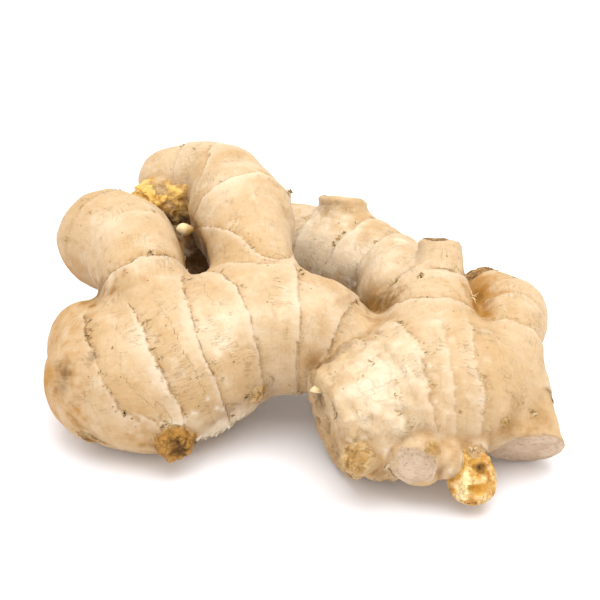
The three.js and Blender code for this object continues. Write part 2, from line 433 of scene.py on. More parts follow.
# Local bumps and dents of the skin: x, y, z, reach and height in mm.
MARKS = [
    (-56.6, -42.5, 33.8, 1.3, -0.5), (-58.0, -36.0, 36.0, 2.5, -0.5),
    (-34.0, -50.0, 18.6, 3.0, 0.5), (-26.0, -46.0, 17.0, 3.0, 0.5), (-11.9, -39.5, 20.0, 2.6, 0.6),
    (24.0, -60.0, 33.0, 4.0, 0.4), (5.0, -50.0, 24.5, 2.2, -1.6), (8.0, -52.0, 33.0, 2.4, 0.9),
    (10.0, -55.0, 30.0, 2.0, -0.7), (12.0, -57.5, 33.0, 1.8, 0.8), (12.0, -59.0, 26.0, 2.2, 0.7),
    (15.0, -61.0, 29.0, 1.8, -0.7), (16.0, -58.5, 36.0, 1.6, 0.8), (18.0, -62.0, 31.0, 1.6, -0.6),
    (17.0, -64.0, 24.0, 2.2, -0.8), (22.0, -63.0, 25.0, 3.0, 0.5), (27.0, -64.5, 23.0, 2.2, -0.6),
    (34.5, -65.5, 25.0, 1.8, -0.8), (54.0, -55.0, 25.0, 2.4, 0.9), (58.0, -53.0, 27.0, 1.5, -0.8),
    (63.0, -50.0, 25.0, 2.2, 0.8), (66.0, -46.0, 22.0, 1.8, -0.7), (-3.3, 26.3, 45.1, 1.4, 0.9),
    (16.5, 16.4, 21.0, 2.0, -0.7), (29.1, -60.2, 33.5, 0.7, -0.5), (9.5, -44.0, 36.0, 2.0, 0.6),
    (-34.0, -29.0, 45.0, 2.0, -0.3), (-48.0, -50.0, 17.0, 2.5, -0.4), (44.0, -62.0, 22.0, 2.0, -0.5),
]

# Stains of the skin: x, y, z and reach in mm, then how orange, how brown and how pale the skin is
# in the middle of each, from 0 to 1.
# Some of the brown is painted shade, and some of the pale is painted light and painted highlight, as
# each group says.
STAINS = [
    # Orange on the hooked finger's left flank and in the hollow beside it.
    (50.5, -2, 28, 7, 0.9, 0, 0), (50, -10, 27, 7, 0.9, 0.05, 0), (50, -18, 28, 7, 0.8, 0.1, 0),
    (49, -24, 31, 6, 0.5, 0.15, 0), (54, -12, 31, 7, 0.4, 0, 0), (54, 3, 26, 4, 0.6, 0.1, 0),
    (44, -4, 30, 5, 0.4, 0.1, 0), (47, -14, 34, 3, 0.5, 0.1, 0),
    # Orange on the outer sides of the left finger and the left body.
    (-64, 10, 28, 12, 0.6, 0.05, 0), (-71, -31, 20, 17, 0.75, 0.05, 0),
    (-60, -30, 12, 12, 0.4, 0, 0),
    # Dots and an old root scar on the left body's front.
    (-65, -44, 25, 2.2, 0, 0.4, 0), (-64.5, -42, 29, 2.2, 0, 0.45, 0),
    (-57, -42.5, 34, 1.4, 0, 0.5, 0), (-57, -45, 11, 3.4, 0.2, 0.5, 0),
    # Round the eye bud, with a painted highlight on its top, and along the peeled skin under the waist.
    (-34, -52, 17.8, 3.2, 0, 0, 1), (-35, -52, 12, 7, 0.5, 0.2, 0), (-29, -49, 16, 3, 0, 0, 0.5),
    (-38, -50, 14, 3, 0.5, 0.2, 0), (-24, -47, 14.5, 3, 0.4, 0.4, 0),
    (-19, -44, 17, 3, 0.3, 0.35, 0), (-24, -44, 10, 4.5, 0, 0, 0.9), (-17, -42, 12, 4.5, 0, 0, 0.8),
    (-12, -39, 19, 3.5, 0.4, 0.4, 0),
    # The nubs, the foot of the young bud, and the fold over the cut stub.
    (22, -62, 13, 4, 0.5, 0.2, 0), (43.5, -60, 17, 2.5, 0.6, 0.3, 0),
    (45, -64, 19, 2.5, 0.5, 0.1, 0), (36, -62, 27, 5, 0.2, 0, 0), (26, -62, 26, 8, 0, 0, 0.5),
    (14, -60, 29, 7, 0, 0, 0.35), (35, -66.5, 22.5, 3.2, 0.8, 0.1, 0), (15, -66, 18, 7, 0.3, 0, 0),
    (8, -56, 23, 10, 0.2, 0.12, 0.1), (31, -58, 32, 3, 0.3, 0, 0), (56, -55, 21, 4.5, 0.7, 0.25, 0),
    (64, -49, 20, 4, 0.4, 0.2, 0),
    # Painted shade, dark brown, in the gap between the left and the middle finger and on the middle
    # finger's flank beside it; orange and brown round the torn bud.
    (-31, 33, 13, 9, 0, 1, 0), (-31, 33, 22, 7, 0, 1, 0), (-37, 33, 31, 4, 0.3, 1, 0),
    (-39, 43, 30, 5, 0.6, 0.4, 0), (-37, 38, 38, 5, 0.5, 0.1, 0), (-31, 14, 34, 5, 0.3, 1, 0),
    (-41, -6, 28, 6, 0.2, 0.6, 0),
    # The fold at the foot of the left finger.
    (-48, -20, 40, 4, 0.2, 0.2, 0), (-56, -12, 36, 5, 0.5, 0.5, 0),
    # The seam between the waist and the blunt end: a brown joint, darkened with painted shade.
    (5, -50, 25, 3, 0, 1, 0), (5.5, -43.5, 31, 2.6, 0.3, 0.75, 0), (9, -42, 34, 2.3, 0.3, 0.6, 0),
    (13, -42, 37, 2.2, 0.4, 0.45, 0), (17, -35.5, 36, 2.2, 0.4, 0.3, 0),
    (24, -29, 38, 3, 0.4, 0.2, 0), (12, -25, 40, 3, 0.4, 0.2, 0), (7, -18, 42, 5, 0.3, 0.05, 0),
    # The crease where the two halves of the hand press on each other: an orange-brown stain, darkened
    # with painted shade.
    (4.6, 29.4, 15, 5, 0.5, 0.3, 0), (10, 25, 16, 5, 0.5, 0.35, 0), (15, 19, 18, 5, 0.6, 0.45, 0),
    (16.5, 16.4, 20.4, 3, 0.3, 0.4, 0), (18, 8, 24, 5, 0.7, 0.5, 0),
    (20, -6.8, 30, 5.5, 0.75, 0.5, 0), (21, -15, 33, 5, 0.75, 0.65, 0),
    (24.5, -19, 35, 4, 0.65, 0.4, 0),
    # Painted light on the rear finger, which lies in the middle finger's shade: pale colour that
    # lightens it, with a painted highlight on its top.
    (8, 28, 24, 10, 0, 0, 0.85), (1, 38, 22, 11, 0, 0, 0.9), (16, 22, 27, 7, 0, 0, 0.6),
    (22, 9, 33, 7, 0, 0, 0.6), (25, 0, 37, 6, 0, 0, 0.7),
    # Pale patches on the other fingers and on both bodies: stretched skin, and painted highlight on the
    # tops and painted light on the right body's shaded lower front.
    (-20, 18, 53, 7, 0, 0, 0.6), (-15, 31, 53, 6, 0, 0, 0.35), (-36, 50, 44, 9, 0, 0, 0.4),
    (-54, 4, 48, 6, 0, 0, 0.5), (-45, -41, 38, 6, 0, 0, 0.5), (-26, -40, 39, 7, 0, 0, 0.5),
    (-18, -34, 42, 7, 0, 0, 0.7), (0, -28, 43, 5, 0, 0, 0.6), (20, -54, 38, 9, 0, 0, 0.7),
    (22, -59, 33, 6, 0, 0, 0.5), (31, -50, 40, 6, 0, 0, 0.35), (41, -50, 38, 6, 0, 0, 0.3),
    (39, -67, 17, 5, 0, 0, 0.4), (28, -66, 14, 5, 0, 0, 0.3),
]


def stains(points):
    """The orange, brown and pale shares at each point: each spot is a Gaussian of how far off its
    middle lies, in reaches, made ragged by clouds."""
    shares = np.zeros((3, len(points)))
    ragged = 1 + clouds(points, RAGGED)
    for x, y, z, span, *amounts in STAINS:
        far = np.linalg.norm(points - (x, y, z), axis=1) / span * ragged
        shares += np.outer(amounts, np.exp(-far ** 2))
    return np.clip(shares, 0, 1)


def skin_relief(points, flowed):
    """How far the skin stands out at each point, in mm, with what the material needs to know.

    Rings: before a ring the skin swells out, past it steps down and then comes back, as a tanh
    step times a fade on both sides. Rims: the skin curls up where a cut ends it, as a Gaussian
    ridge. Lumps: clouds of three sizes, and single marks as Gaussian bumps. Dry skin: ridged clouds,
    drawn out round the finger. Each finger has a share in all this that falls off as an exponential
    of how much farther off it is than the nearest.
    """
    places = finger_places(points)
    nearest = np.min([row[0] for row in places.values()], axis=0)
    count = len(points)
    relief, brown, dry, ahead, behind, total = np.zeros((6, count))
    ring = np.full(count, RING_VIEW)
    grain = np.zeros((count, 3))
    lead = np.full(count, -1.0)
    wander = clouds(points, WANDER)
    for name, (distance, along, turn) in places.items():
        finger = FINGERS[name]
        weight = np.exp(-np.clip(distance - nearest, 0, 20) / SHARE_WIDTH)
        total += weight
        mine = weight > lead
        lead[mine] = weight[mine]
        out = np.zeros(count)
        own_ring = np.full(count, RING_VIEW)
        own_brown = np.zeros(count)
        for place, step, tint, lean, swing in finger["rings"]:
            past = along - place - lean * np.cos(turn) - swing * np.sin(turn) + wander
            fade = np.exp(-np.abs(past) / RING_REACH)
            out -= RING_SWELL * step * np.tanh(past / RING_STEP_WIDTH) * fade
            band = min(1.0, BAND_STRENGTH * step) * weight
            ahead += band * np.where(past < 0, np.clip(1 + past / PALE_REACH, 0, 1) ** 2, 0)
            behind += band * np.where(past > 0, np.clip(1 - past / TAN_REACH, 0, 1) ** 2, 0)
            closer = np.abs(past) < np.abs(own_ring)
            own_ring[closer] = past[closer]
            own_brown[closer] = tint
        for end, cut in CUTS:
            if cut in finger:
                beyond = (points - finger["stations"][end][:3]) @ unit(finger[cut])
                out += CURL * np.exp(-((beyond + CURL_INSIDE) / CURL_WIDTH) ** 2) * (1 + wander)
        relief += weight * out
        ring[mine] = own_ring[mine]
        brown[mine] = own_brown[mine]
        girth = np.interp(along, path_lengths(paths[name]), paths[name][:, 3])
        apart = np.full(count, GRAIN_APART * len(name))
        grain[mine] = np.stack([along, turn * girth, apart], 1)[mine]
        if name == "right_body":
            dry = weight * (1 - ease(*DRY_ENDS, along + 3 * wander))
    own = ease(0.55, 0.85, lead / total)
    relief = relief / total + clouds(points, SWELLS)
    for x, y, z, span, height in MARKS:
        relief += height * np.exp(-((points - (x, y, z)) ** 2).sum(1) / span ** 2)
    crumple = 1 - 2 * np.abs(cloud(points, 3.6, 7))
    folds = 1 - 2 * np.abs(cloud(grain * (1 / 2.2, 1 / 7.0, 1), 1.0, 6))
    relief += dry * (DRY_FOLDS * folds + DRY_CRUMPLE * crumple)
    # The belly is pressed flat on the table, and where fingers have grown together no ring shows.
    relief *= ease(0.2, 2.5, points[:, 2])
    clear = 1 - ease(0.8, 2.5, flowed)
    return relief, dict(ring=ring, brown=brown * own * clear, dry=dry, grain=grain, own=own,
                        ahead=ahead / total * clear, behind=behind / total * clear)


field, flowed_grid, seam_grid = hand_field()
slopes = [part.astype(np.float32) for part in np.gradient(field, CELL)]


def outward(points):
    """The direction straight out of the skin at each point."""
    return unit(np.stack([sample(part, points) for part in slopes], 1))


skin_points, skin_quads = contour(field, grid_low, CELL)
skin_points = even_out(skin_points, skin_quads, field, slopes)
skin_out = outward(skin_points)
relief, facts = skin_relief(skin_points, sample(flowed_grid, skin_points))
skin_shape = skin_points + skin_out * relief[:, None]
seam = np.clip(sample(seam_grid, skin_points), 0, 1)
orange, soil, pale = stains(skin_points)

# How closed in the skin is, for the material's painted shade in the closed-in places: how little
# room there is this far off the skin, in mm.
ROOM = 7.0
crevice = np.clip(1 - sample(field, skin_points + skin_out * ROOM) / ROOM, 0, 1)

# The origin of the frame is the middle of the hand's footprint, here in table places.
HAND_MIDDLE = (0.45, -1.57, 0.0)


def make_piece(name, points, faces, material, attributes=None):
    """A mesh piece of the root from an array of table points in mm, an array of faces that all
    have the same number of corners, its material, and arrays of values kept at the points."""
    mesh = bpy.data.meshes.new(name)
    corners = faces.shape[1]
    mesh.vertices.add(len(points))
    places = np.asarray(points) - HAND_MIDDLE
    places[:, 2] = np.maximum(places[:, 2], 0)
    places *= MM
    mesh.vertices.foreach_set("co", places.astype(np.float32).ravel())
    mesh.loops.add(faces.size)
    mesh.loops.foreach_set("vertex_index", faces.astype(np.int32).ravel())
    mesh.polygons.add(len(faces))
    mesh.polygons.foreach_set("loop_start", np.arange(0, faces.size, corners, dtype=np.int32))
    mesh.polygons.foreach_set("use_smooth", np.ones(len(faces), bool))
    mesh.update(calc_edges=True)
    for key, values in (attributes or {}).items():
        flat = values.ndim == 1
        layer = mesh.attributes.new(key, "FLOAT" if flat else "FLOAT_VECTOR", "POINT")
        layer.data.foreach_set("value" if flat else "vector", values.astype(np.float32).ravel())
    mesh.validate()
    mesh.materials.append(material)
    piece = bpy.data.objects.new(name, mesh)
    bpy.context.collection.objects.link(piece)
    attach(piece, "root")
    return piece


# --- Its material ---


def new_material(name):
    """An empty material with its node tree."""
    material = bpy.data.materials.new(name)
    material.use_nodes = True
    material.node_tree.nodes.clear()
    return material, material.node_tree


def add(tree, kind, settings=None, inputs=()):
    """A node with its settings. Its live inputs are linked or set, in their order or by name, and a
    node among them stands for its first live output. Values past the last input go to more nodes
    like it, each fed by the one before, so that a sum or a product takes any number of them."""
    node = tree.nodes.new("ShaderNode" + kind)
    for key, value in (settings or {}).items():
        setattr(node, key, value)
    live = [number for number, socket in enumerate(node.inputs) if socket.enabled]
    named = inputs if isinstance(inputs, dict) else dict(zip(live, inputs))
    for key, value in named.items():
        if isinstance(value, bpy.types.Node):
            value = next(socket for socket in value.outputs if socket.enabled)
        if isinstance(value, bpy.types.NodeSocket):
            tree.links.new(value, node.inputs[key])
        else:
            node.inputs[key].default_value = value
    for value in inputs[len(live):] if named is not inputs else ():
        node = add(tree, kind, settings, (node, value))
    return node


# Settings of the nodes that are used most: a product, a sum, a size without its sign, a value that
# is spread from two ends to two others with an S-curve, and a mix of two colours.
TIMES = dict(operation="MULTIPLY")
PLUS = dict(operation="ADD")
UNSIGNED = dict(operation="ABSOLUTE")
SPREAD = dict(interpolation_type="SMOOTHSTEP")
COLOURS = dict(data_type="RGBA")


def linear(code):
    """An sRGB hex colour as linear light."""
    parts = np.array([int(code[i:i + 2], 16) for i in (1, 3, 5)]) / 255
    light = np.where(parts <= 0.04045, parts / 12.92, ((parts + 0.055) / 1.055) ** 2.4)
    return (*light, 1.0)


def painted(tree, colour, coats):
    """A colour with coats over it, the lowest first. A coat is a share from 0 to 1 and its colour;
    or a value, the two ends it is spread from, the two shares it is spread to, and its colour."""
    for share, *ends, code in coats:
        if ends:
            share = add(tree, "MapRange", SPREAD, (share, *ends))
        colour = add(tree, "Mix", COLOURS, (share, colour, linear(code)))
    return colour


def heights(tree, layers):
    """The height of a fine relief in mm: each layer is a pattern and how high it stands."""
    return add(tree, "Math", PLUS, [add(tree, "Math", TIMES, layer) for layer in layers])


def finish_tissue(tree, colour, rough, height_mm, flesh_share, shine=0.3):
    """A surface of moist plant tissue: its colour, its roughness, the height of its fine relief in
    mm, how much of the light goes through the flesh under it, and how strongly it shines. Red light
    goes 2.4 mm into the flesh, green half and blue a quarter of that."""
    bump = add(tree, "Bump", None, {"Strength": 1.0, "Distance": MM, "Height": height_mm})
    shader = add(tree, "BsdfPrincipled", None, {
        "Base Color": colour, "Roughness": rough, "Normal": bump, "IOR": 1.4,
        "Specular IOR Level": shine, "Subsurface Weight": flesh_share, "Subsurface Scale": MM,
        "Subsurface Radius": (2.4, 1.2, 0.6)})
    add(tree, "OutputMaterial", None, {"Surface": shader})


# What the skin keeps at its points: how far past the nearest ring they lie, in mm; then, from 0 to
# 1, how near before a ring and past one, how brown the ring, how dry the skin, how wholly of one
# finger, how closed in, how near a seam, how orange, how brown with soil and painted shade, and how
# pale with skin and painted light.
SKIN_VALUES = ("ring", "ahead", "behind", "brown", "dry", "own", "crevice", "seam", "orange", "soil",
               "pale")


def ginger_skin():
    """Fresh ginger skin: a thin papery cork layer over moist flesh. It is pale tan, a little
    translucent, satin where it is stretched and matt where it has dried."""
    material, tree = new_material("fresh_ginger_skin_papery_satin")
    node = partial(add, tree)
    place = node("TexCoord").outputs["Object"]
    grain = node("Attribute", dict(attribute_name="grain")).outputs["Vector"]
    ring, ahead, behind, brown, dry, own, crevice, seam, orange, soil, pale = (
        node("Attribute", dict(attribute_name=name)).outputs["Fac"] for name in SKIN_VALUES)

    # Cloudy lumps: how many mm across, how detailed and how rough.
    broad, patchy, small, fine, bumps, gaps, creases, spots, worn = (
        node("TexNoise", None, (place, 0.5 / (size * MM), detail, rough))
        for size, detail, rough in (
            (14, 2, 0.55), (4.5, 4, 0.62), (1.6, 3, 0.6), (0.6, 3, 0.65), (2.4, 5, 0.6),
            (2.4, 3, 0.7), (5.0, 3, 0.6), (9.0, 1, 0.55), (3.5, 1, 0.55)))
    # Clouds drawn out round the finger as hoops, and along it as fibres and strokes: how many to
    # the mm along it and round it, and how detailed.
    hoops, fibres, strokes = (
        node("TexNoise", None, (node("Mapping", None, {"Vector": grain, "Scale": (along, turn, 1)}),
                                1.0, detail, 0.6))
        for along, turn, detail in ((1.3, 0.1, 3), (0.12, 1.3, 3), (0.22, 0.9, 2)))
    hoops, fibres = (node("Math", TIMES, (drawn, own)) for drawn in (hoops, fibres))

    # Before a ring the skin is stretched and pale, and lighter still as a painted highlight of the
    # ring's lip; past it, where the old leaf sheath sheltered it, it is tan and streaked, and darker
    # as painted shade of the step.
    uneven = node("MapRange", SPREAD, (broad, 0.35, 0.65, 0.4, 1))
    streaks = node("Math", PLUS, (fibres, node("Math", TIMES, (patchy, 0.5))))
    streaks = node("MapRange", SPREAD, (streaks, 0.4, 0.95, 0.3, 1))
    pale_band_and_painted_highlight = node("Math", TIMES, (ahead, uneven, 0.65))
    tan_band_and_painted_shade = node("Math", TIMES, (behind, streaks, 0.65))

    # The ring itself: a broken brown line, with dots where leaf veins and hair roots came out.
    near = node("Math", UNSIGNED, (node("Math", PLUS, (ring, -0.15)),))
    frayed = node("Math", TIMES, (node("Math", PLUS, (fine, -0.5)), 0.9))
    line = node("MapRange", SPREAD, (node("Math", PLUS, (near, frayed)), 0.05, 0.55, 1, 0))
    broken = node("MapRange", SPREAD, (gaps, 0.4, 0.6, 0.1, 1))
    line = node("Math", TIMES, (line, broken, node("MapRange", SPREAD, (brown, 0, 0.7))))
    dots = node("TexVoronoi", None, (place, 1 / (1.7 * MM)))
    dots = node("MapRange", SPREAD, (dots, 0.1, 0.25, 1, 0))
    pits = node("Math", TIMES, (dots, node("MapRange", SPREAD, (near, 0.5, 1.2, 1, 0)), brown))

    # Stains: orange; brown with soil, and painted shade in the gap between the fingers; pale where the
    # skin has peeled and where it is stretched, and also painted light on the rear finger and painted
    # highlight on the tops.
    mottle = node("Math", PLUS, (patchy, node("Math", TIMES, (fine, 0.5))))
    mottle = node("MapRange", SPREAD, (mottle, 0.5, 1, 0.55, 1))
    orange_tint = node("Math", TIMES, (orange, mottle))
    soil_and_painted_shade = node("Math", TIMES, (soil, node("MapRange", SPREAD, (mottle, 0.5, 1, 0.8, 1))))
    pale_skin_and_painted_light = node("Math", TIMES, (pale, mottle, 0.9))
    blotched = node("Math", TIMES, (dry, node("MapRange", SPREAD, (patchy, 0.5, 0.66)), 0.18))

    # Dust and loose bark in the seams, and painted shade in the closed-in places, less where the skin
    # is orange.
    barky = node("Math", PLUS, (seam, node("Math", TIMES, (patchy, 0.6)), -0.3))
    painted_crevice_shade = node("Math", PLUS, (crevice, node("Math", TIMES, (patchy, 0.5)),
                               node("Math", TIMES, (orange, -0.2)), -0.25))

    # Fine cracks in the papery layer, most of them where it has dried, and scratches along it.
    crack = node("Math", UNSIGNED, (node("Math", PLUS, (creases, -0.5)),))
    cracked = node("Math", PLUS, (node("Math", TIMES, (dry, 0.6)),
                                  node("MapRange", SPREAD, (spots, 0.55, 0.7, 0, 0.3))))
    cracks = node("Math", TIMES, (node("MapRange", SPREAD, (crack, 0, 0.04, 1, 0)), cracked))
    scratch = node("Math", UNSIGNED, (node("Math", PLUS, (strokes, -0.5)),))
    scratches = node("Math", TIMES, (node("MapRange", SPREAD, (scratch, 0, 0.014, 1, 0)),
                                     node("MapRange", SPREAD, (worn, 0.55, 0.62)), own))

    # Specks all over: corky pores, in a third of the cells of a 3 mm net.
    cells = node("TexVoronoi", None, (place, 1 / (3 * MM)))
    rare = node("SeparateColor", None, (cells.outputs["Color"],))
    rare = node("MapRange", SPREAD, (rare, 0.62, 0.66))
    specks = node("Math", TIMES, (node("MapRange", SPREAD, (cells, 0.04, 0.12, 1, 0)), rare))

    colour = painted(tree, linear("#C4AB8A"), (
        (broad, 0.35, 0.65, 0, 1, "#BB9D75"), (patchy, 0.48, 0.72, 0, 0.4, "#AE8F65"),
        (patchy, 0.48, 0.3, 0, 0.5, "#CEBDA5"), (small, 0.5, 0.75, 0, 0.22, "#A18054"),
        (hoops, 0.52, 0.75, 0, 0.2, "#99774C"), (fibres, 0.52, 0.75, 0, 0.2, "#99774C"),
        (fine, 0.52, 0.75, 0, 0.22, "#906E44"),
        (pale_band_and_painted_highlight, "#D7CAB7"), (tan_band_and_painted_shade, "#9B7441"),
        (node("Math", TIMES, (dry, 0.3)), "#B49B76"), (blotched, "#8E6738"),
        (orange_tint, "#AB7A33"), (soil_and_painted_shade, "#3D2409"), (pale_skin_and_painted_light, "#E0D1B8"),
        (barky, 0.4, 1, 0, 0.4, "#94662C"), (barky, 0.85, 1.15, 0, 0.6, "#4D3216"),
        # Painted shade in the closed-in places.
        (painted_crevice_shade, 0.5, 0.95, 0, 0.55, "#A0722F"), (painted_crevice_shade, 0.8, 1.1, 0, 0.85, "#43290C"),
        (node("Math", TIMES, (line, 0.65)), "#6E4C29"), (node("Math", TIMES, (pits, 0.65)), "#56371B"),
        (node("Math", TIMES, (cracks, 0.25)), "#8A6236"),
        (node("Math", TIMES, (scratches, 0.3)), "#86623A"),
        (node("Math", TIMES, (specks, 0.55)), "#6B4826")))
    rough = node("Math", PLUS, (patchy, node("Math", TIMES, (dry, 0.2))))
    rough = node("MapRange", SPREAD, (rough, 0.3, 0.8, 0.42, 0.66))
    rough = node("Math", PLUS, (rough, node("Math", TIMES, (soil, 0.5))))
    relief_mm = heights(tree, ((bumps, 0.5), (fine, 0.1), (hoops, 0.18), (fibres, 0.1), (line, -0.2),
                               (pits, -0.25), (specks, -0.15), (cracks, -0.16), (scratches, -0.1)))
    finish_tissue(tree, colour, rough, relief_mm, 0.18, 0.05)
    return material


skin_material = ginger_skin()
skin = make_piece("rhizome_skin", skin_shape, skin_quads, skin_material,
                  dict(crevice=crevice, seam=seam, orange=orange, soil=soil, pale=pale, **facts))
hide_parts("rhizome")

# === Cut and snapped ends =======================================================================
# Where fingers were cut or snapped off, the flesh has dried to a pale disc with the ends of fibre
# bundles in it, and the skin stands round it as a thin rim.

# Wrinkles of the dried flesh: clouds of height, size in mm and kind.
WRINKLES = ((1, 3.5, 1), (0.6, 1.3, 2))
# The disc lies this much proud of the cut and dips by this much at its edge, in mm.
FACE_PROUD = 0.12
EDGE_DIP = 0.8


def disc_faces(rows, columns):
    """Quads between rings of points, the inner ring first; the innermost ring closes on itself."""
    row, column = np.meshgrid(np.arange(rows - 1), np.arange(columns), indexing="ij")
    here = row * columns + column
    beside = row * columns + (column + 1) % columns
    return np.stack([here, here + columns, beside + columns, beside], -1).reshape(-1, 4)


def cut_face(name, finger, cut, material, bulge, wrinkle=0.15, turns=220, rows=40):
    """A disc that fills the flat cut of a finger up to its skin. In each direction round the centre,
    its edge is the last place inside the finger just below the cut. The disc bulges as one less the
    squared share of the way out, with clouds of wrinkles, and its edge dips under the skin's rim."""
    centre = np.array(FINGERS[finger]["stations"][-1 if cut == "end_cut" else 0][:3], float)
    direction = unit(FINGERS[finger][cut])
    side = unit(np.cross(direction, (0.3, 0.1, 1.0)))
    up = np.cross(side, direction)
    angle = np.linspace(0, 2 * np.pi, turns, endpoint=False)
    rays = np.cos(angle)[:, None] * side + np.sin(angle)[:, None] * up
    tries = np.arange(0.2, 26, 0.2)
    below = (centre - 1.2 * direction + tries[:, None, None] * rays).reshape(-1, 3)
    depth = finger_distance(below.astype(np.float32), paths[finger])[0].reshape(len(tries), -1)
    edge = tries[np.argmax(depth > -0.3, axis=0)]
    share = np.linspace(0, 1, rows)[:, None]
    points = centre + (share * edge)[..., None] * rays
    flat = points.reshape(-1, 3)
    lift = wrinkle * clouds(flat, WRINKLES).reshape(rows, turns)
    lift += bulge * (1 - share ** 2) + FACE_PROUD - EDGE_DIP * ease(0.93, 1.0, share)
    lift[0] = lift[0].mean()
    points = points + lift[..., None] * direction
    from_edge = ((1 - share) * edge).ravel()
    return make_piece(name, points.reshape(-1, 3), disc_faces(rows, turns), material,
                      dict(from_edge=from_edge))


def dried_flesh(name, pale, grey, stain, stained):
    """Dried cut flesh: pale, mottled, with the brown ends of fibre bundles 1.5 mm apart, a faint
    ring a few mm inside the rim, and brown stains from the rim inwards."""
    material, tree = new_material(name)
    node = partial(add, tree)
    place = node("TexCoord").outputs["Object"]
    from_edge = node("Attribute", dict(attribute_name="from_edge")).outputs["Fac"]
    patchy, fine = (node("TexNoise", None, (place, 0.5 / (size * MM), detail, rough))
                    for size, detail, rough in ((3.0, 4, 0.6), (0.6, 3, 0.7)))
    bundles = node("TexVoronoi", None, (place, 1 / (1.5 * MM)))
    bundles = node("MapRange", SPREAD, (bundles, 0.1, 0.26, 1, 0))
    inner = node("Math", PLUS, (from_edge, node("Math", TIMES, (patchy, 1.2)), -2.6))
    rim = node("Math", PLUS, (from_edge, node("Math", TIMES, (patchy, -3)), 1.5))
    colour = painted(tree, linear(pale), (
        (patchy, 0.35, 0.65, 0, 1, grey), (fine, 0.5, 0.75, 0, 0.5, stain),
        (node("Math", TIMES, (bundles, 0.4)), "#6E5236"),
        (node("Math", UNSIGNED, (inner,)), 0.1, 0.6, 0.18, 0, "#806848"),
        (rim, 0.1, 1.4, stained, 0, stain)))
    relief_mm = heights(tree, ((patchy, 0.4), (fine, 0.15), (bundles, -0.15)))
    finish_tissue(tree, colour, 0.62, relief_mm, 0.12)
    return material


# A fresh cut is pale and matt, because the starch dries on it; an old one has corked over, brown
# and stained from the rim.
fresh_cut = dried_flesh("cut_ginger_flesh_matt", "#C4AE96", "#B39A80", "#906E48", 0.3)
old_cut = dried_flesh("old_cut_ginger_corky", "#A98F6B", "#94774F", "#6F5029", 0.7)
cut_face("cut_stub_face", "cut_stub", "end_cut", fresh_cut, 0.5)
cut_face("cut_nub_face", "cut_nub", "end_cut", fresh_cut, 0.7)
cut_face("rear_stub_face", "rear_stub", "end_cut", old_cut, -0.4, 0.3)
cut_face("upright_stub_face", "upright_stub", "end_cut", old_cut, -0.3, 0.3)
cut_face("blunt_end_face", "right_body", "start_cut", old_cut, -0.6, 0.8)

# === The eye bud ================================================================================
# A shoot that broke off the front of the left body long ago. It has healed to a mound of dark cork
# scales round a mouth, which stands a little off the skin and grows out of it.

# What a crust's form gives for every place: its height over the skin in mm, and from 0 to 1 how
# dark, how warm and how bare of skin it is. Inside its edge it is never thinner than this.
FORM_VALUES = ("high", "shade", "warm", "bare")
THINNEST = 0.12
# A form is only worked out this near the skin, in mm, and this is far outside a crust.
NEAR_SKIN = 4.0
OUTSIDE = 9.0


def crust(name, centre, reach, form, material, cell=0.3, depth=0.8):
    """A closed crust on the skin round a centre. On a fine grid, it fills the room from a depth
    below the skin up to the height that its form gives, and its surface is the contour of that."""
    count = int(2 * reach / cell) + 1
    low = np.array(centre, float) - reach
    axes = [low[k] + cell * np.arange(count) for k in range(3)]
    places = np.stack(np.meshgrid(*axes, indexing="ij"), -1).reshape(-1, 3)
    off_skin = sample(field, places)
    high = np.full(len(places), -OUTSIDE)
    close = np.abs(off_skin) < NEAR_SKIN
    off_skin[close] -= skin_relief(places[close], sample(flowed_grid, places[close]))[0]
    high[close] = form(places[close])[0]
    shell = np.maximum(off_skin - high, -off_skin - depth).reshape(count, count, count)
    # It ends inside the grid's outer layer, so that it is always closed.
    shell = np.maximum(shell, 0.5 - np.pad(np.full((count - 2,) * 3, OUTSIDE), 1))
    points, quads = contour(shell.astype(np.float32), low, cell)
    return make_piece(name, points, quads, material, dict(zip(FORM_VALUES, form(points))))


def round_patch(points, centre, radius, ragged, kind=1):
    """1 in the middle of a patch, 0 at its ragged edge and below 0 outside it."""
    far = np.linalg.norm(points - centre, axis=1) / radius
    layers = ((1, 0.35 * radius, kind), (0.5, 0.15 * radius, kind))
    return 1 - far + ragged * clouds(points, layers)


def ridged(points, size, kind):
    """Sharp ridges on a soft ground, from -1 to 1, about size mm apart."""
    return 1 - 2 * np.abs(cloud(points, size, kind))


